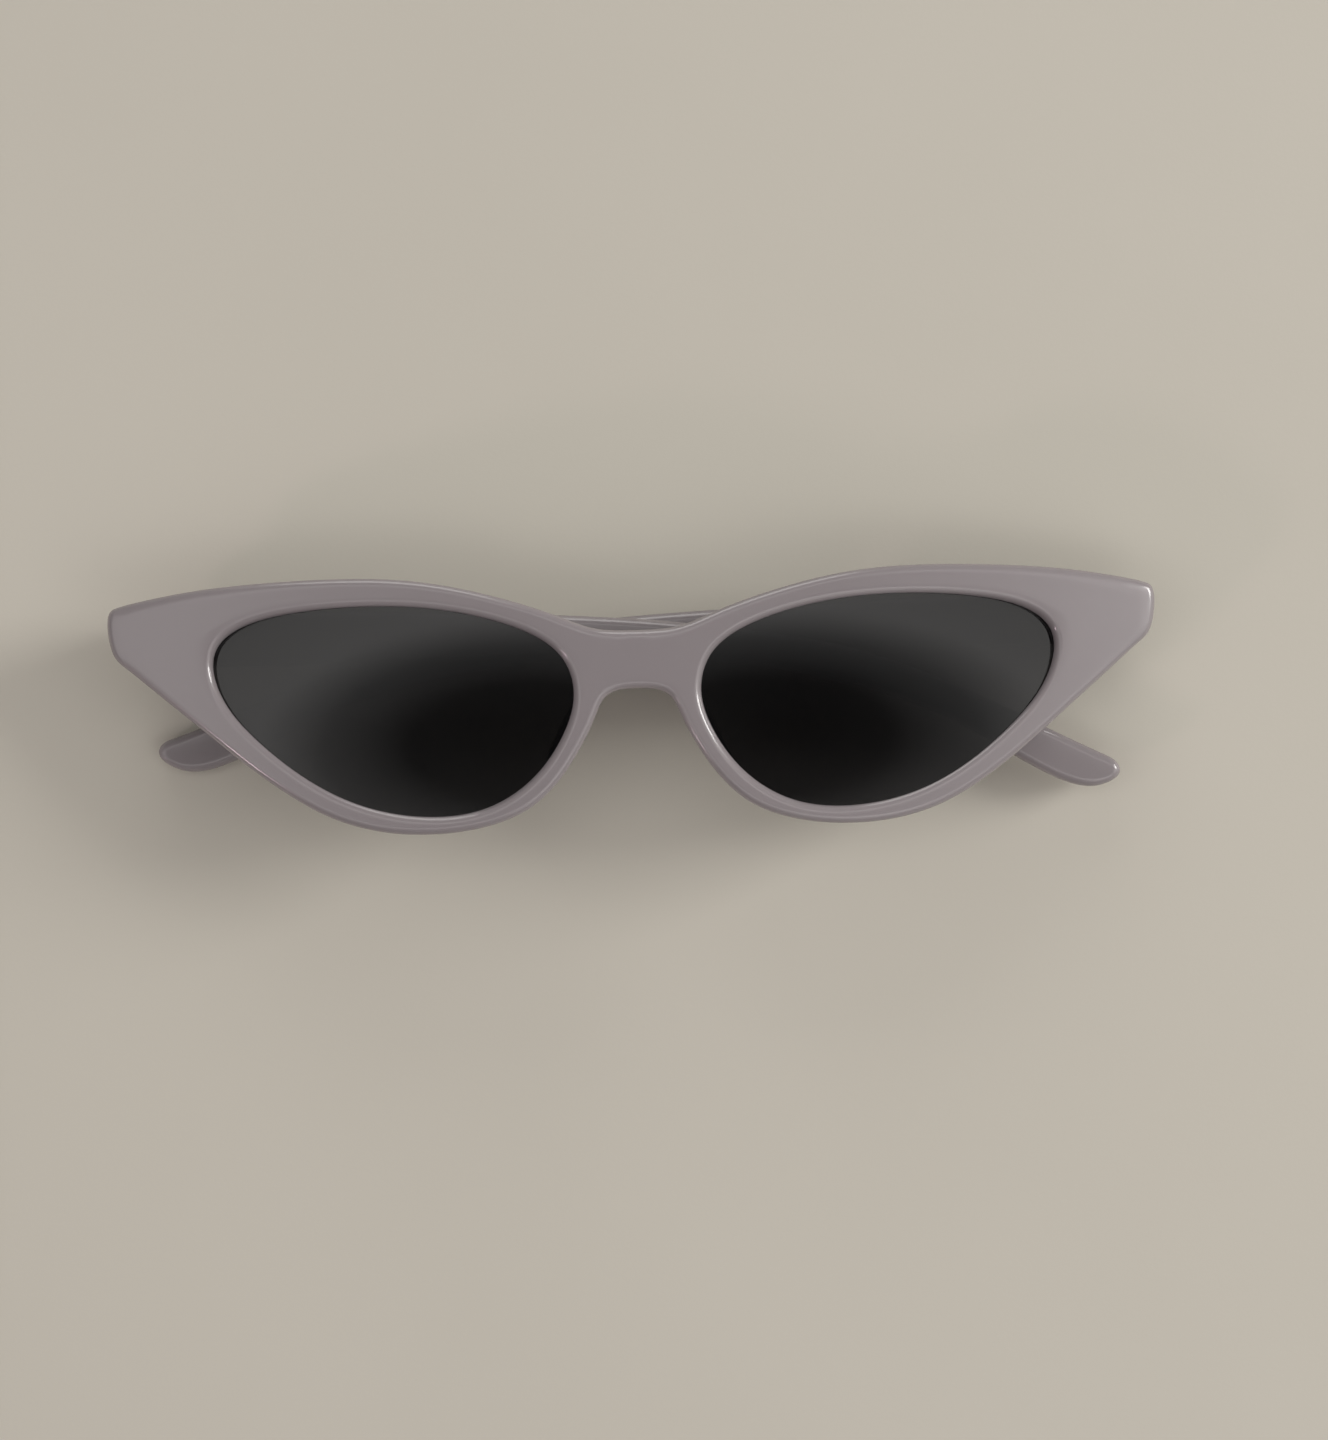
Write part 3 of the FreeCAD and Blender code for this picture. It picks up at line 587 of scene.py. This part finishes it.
def moulded_plastic():
    """Polished pale lilac plastic with faint flow marks, handling marks and slight waviness."""
    made, tree, shader = material("lilac_moulded_plastic")
    flow = noise(tree, 24.0, 1.5)
    stops = [(0.3, (0.228, 0.203, 0.212)), (0.7, (0.243, 0.217, 0.226))]
    colour = ramp(tree, flow.outputs["Fac"], stops)
    tree.links.new(colour, shader.inputs["Base Color"])
    handling = noise(tree, 700.0, 4.0, 0.6)
    gloss = ramp(tree, handling.outputs["Fac"], [(0.35, (0.20,) * 3), (0.75, (0.27,) * 3)])
    tree.links.new(gloss, shader.inputs["Roughness"])
    wave = noise(tree, 90.0, 1.0)
    bump(tree, shader, wave.outputs["Fac"], 0.05, 0.00008)
    shader.inputs["IOR"].default_value = 1.49
    shader.inputs["Coat Weight"].default_value = 0.4
    shader.inputs["Coat Roughness"].default_value = 0.06
    shader.inputs["Subsurface Weight"].default_value = 0.1
    shader.inputs["Subsurface Radius"].default_value = (0.0012, 0.0009, 0.001)
    shader.inputs["Subsurface Scale"].default_value = 1.0
    return made


def tinted_lens():
    """Dark smoke lens that lets a little light through, with faint smears in its gloss."""
    made, tree, shader = material("smoke_tinted_lens")
    tint = noise(tree, 22.0, 2.0)
    stops = [(0.3, (0.022, 0.022, 0.024)), (0.7, (0.028, 0.027, 0.029))]
    colour = ramp(tree, tint.outputs["Fac"], stops)
    tree.links.new(colour, shader.inputs["Base Color"])
    smear = noise(tree, 120.0, 5.0, 0.6)
    gloss = ramp(tree, smear.outputs["Fac"], [(0.4, (0.055,) * 3), (0.8, (0.095,) * 3)])
    tree.links.new(gloss, shader.inputs["Roughness"])
    shader.inputs["IOR"].default_value = 1.5
    shader.inputs["Transmission Weight"].default_value = 1.0
    return made


def hinge_metal(name, tone, rough):
    """Turned and brushed hinge metal."""
    made, tree, shader = material(name)
    where = node(tree, "ShaderNodeTexCoord")
    stretch = node(tree, "ShaderNodeMapping")
    stretch.inputs["Scale"].default_value = (400.0, 9000.0, 400.0)
    tree.links.new(where.outputs["Object"], stretch.inputs["Vector"])
    lines = node(tree, "ShaderNodeTexNoise")
    lines.inputs["Scale"].default_value = 1.0
    lines.inputs["Detail"].default_value = 4.0
    tree.links.new(stretch.outputs["Vector"], lines.inputs["Vector"])
    dark, light = [tuple(c * k for c in tone) for k in (0.8, 1.1)]
    colour = ramp(tree, lines.outputs["Fac"], [(0.3, dark), (0.7, light)])
    tree.links.new(colour, shader.inputs["Base Color"])
    gloss = ramp(tree, lines.outputs["Fac"], [(0.3, (rough,) * 3), (0.7, (rough + 0.14,) * 3)])
    tree.links.new(gloss, shader.inputs["Roughness"])
    bump(tree, shader, lines.outputs["Fac"], 0.1, 0.00002)
    shader.inputs["Metallic"].default_value = 1.0
    return made


def table_top():
    """Matt pale table with faint mottling and fine grain."""
    made, tree, shader = material("pale_table")
    mottle = noise(tree, 6.0, 4.0, 0.55)
    stops = [(0.25, (0.495, 0.467, 0.408)), (0.75, (0.530, 0.500, 0.440))]
    colour = ramp(tree, mottle.outputs["Fac"], stops)
    tree.links.new(colour, shader.inputs["Base Color"])
    grain = noise(tree, 1500.0, 3.0)
    bump(tree, shader, grain.outputs["Fac"], 0.12, 0.0001)
    shader.inputs["Roughness"].default_value = 0.62
    return made


# ------------------------------------------------------------------ build
WORN_EDGE, WORN_ANGLE = 0.00008, 50     # metres and degrees

plastic, lens_tint = moulded_plastic(), tinted_lens()
leaf_metal = hinge_metal("hinge_leaf_metal", (0.66, 0.65, 0.62), 0.26)
screw_metal = hinge_metal("hinge_screw_metal", (0.78, 0.78, 0.79), 0.16)
build_front(plastic)
for side in (1, -1):
    build_lens(side, lens_tint)
    build_temple(side, plastic)
    for name, metal in (("front_hinge_leaf", leaf_metal), ("temple_hinge_leaf", leaf_metal),
                        ("hinge_screw", screw_metal)):
        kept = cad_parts[f"{name}_{SIDES[side]}"]
        kept.data.materials.clear()
        kept.data.materials.append(metal)
        soften = kept.modifiers.new("worn_edges", "BEVEL")
        soften.width, soften.segments, soften.limit_method = WORN_EDGE, 2, "ANGLE"
        soften.angle_limit = math.radians(WORN_ANGLE)

# ------------------------------------------------------------------ floor, light, camera
FLOOR_TILE, FLOOR_HALF = 0.1, 14        # metres, and tiles from the middle to the edge
bm = bmesh.new()
tiles = range(-FLOOR_HALF, FLOOR_HALF + 1)
rows = [[bm.verts.new((x * FLOOR_TILE, y * FLOOR_TILE, 0.0)) for x in tiles] for y in tiles]
grid(bm, rows, closed_cols=False)
floor_mesh = bpy.data.meshes.new("floor")
bm.to_mesh(floor_mesh)
bm.free()
floor = bpy.data.objects.new("floor", floor_mesh)
bpy.context.scene.collection.objects.link(floor)
floor_mesh.materials.append(table_top())


def area_light(name, at, aim, size, power, colour):
    """A square lamp at one point, turned to another."""
    lamp = bpy.data.lights.new(name, "AREA")
    lamp.shape, lamp.size, lamp.energy, lamp.color = "SQUARE", size, power, colour
    made = bpy.data.objects.new(name, lamp)
    made.location = at
    made.rotation_euler = (Vector(aim) - Vector(at)).to_track_quat("-Z", "Y").to_euler()
    bpy.context.scene.collection.objects.link(made)


area_light("window", (1.27, 0.34, 0.66), (0, 0, 0), 0.5, 13.0, (1.0, 0.985, 0.955))
area_light("far_wall", (-0.15, 1.25, 0.45), (0, 0, 0), 0.7, 4.6, (1.0, 0.99, 0.96))
area_light("room_side", (0.35, -0.55, 0.65), (0, -0.1, 0), 0.45, 0.5, (1.0, 0.99, 0.95))
area_light("pink_bounce", (-0.95, -0.62, 0.5), (0, 0, 0), 0.12, 1.5, (1.0, 0.76, 0.83))


# The dim patch overhead: where its middle is, and its reach along and across the glasses.
DIM_MIDDLE, DIM_REACH, ROOM_STRENGTH = (0.08, -0.08, 0.0), (0.62, 0.30), 1.5


def room_light():
    """Soft light from all round: dim straight above, and paler outwards."""
    world = bpy.data.worlds.new("soft_room")
    bpy.context.scene.world = world
    world.use_nodes = True
    tree = world.node_tree
    where = node(tree, "ShaderNodeTexCoord")
    centre = node(tree, "ShaderNodeVectorMath", operation="SUBTRACT")
    centre.inputs[1].default_value = DIM_MIDDLE
    tree.links.new(where.outputs["Generated"], centre.inputs[0])
    stretch = node(tree, "ShaderNodeVectorMath", operation="MULTIPLY")
    stretch.inputs[1].default_value = (0.5 / DIM_REACH[0], 0.5 / DIM_REACH[1], 0.0)
    tree.links.new(centre.outputs["Vector"], stretch.inputs[0])
    away = node(tree, "ShaderNodeVectorMath", operation="LENGTH")
    tree.links.new(stretch.outputs["Vector"], away.inputs[0])
    colour = ramp(tree, away.outputs["Value"], [
        (0.0, (0.02, 0.02, 0.02)), (0.24, (0.05, 0.05, 0.05)), (0.40, (0.34, 0.335, 0.33)),
        (0.52, (0.92, 0.90, 0.88)), (0.70, (0.80, 0.78, 0.76)), (0.82, (0.18, 0.175, 0.168))])
    tree.links.new(colour, tree.nodes["Background"].inputs["Color"])
    tree.nodes["Background"].inputs["Strength"].default_value = ROOM_STRENGTH


room_light()
scene = bpy.context.scene
scene.view_settings.view_transform = "Standard"
scene.view_settings.look = "None"
CAMERA_AT, CAMERA_TURN = (0.003785, -0.002846, 0.3964), -1.55      # metres and degrees
LENS_MM, SENSOR_MM = 69.2, 36.0
eye = bpy.data.cameras.new("camera")
eye.lens, eye.sensor_width = LENS_MM, SENSOR_MM
camera = bpy.data.objects.new("camera", eye)
camera.location = CAMERA_AT
camera.rotation_euler = (0, 0, math.radians(CAMERA_TURN))
scene.collection.objects.link(camera)
scene.camera = camera
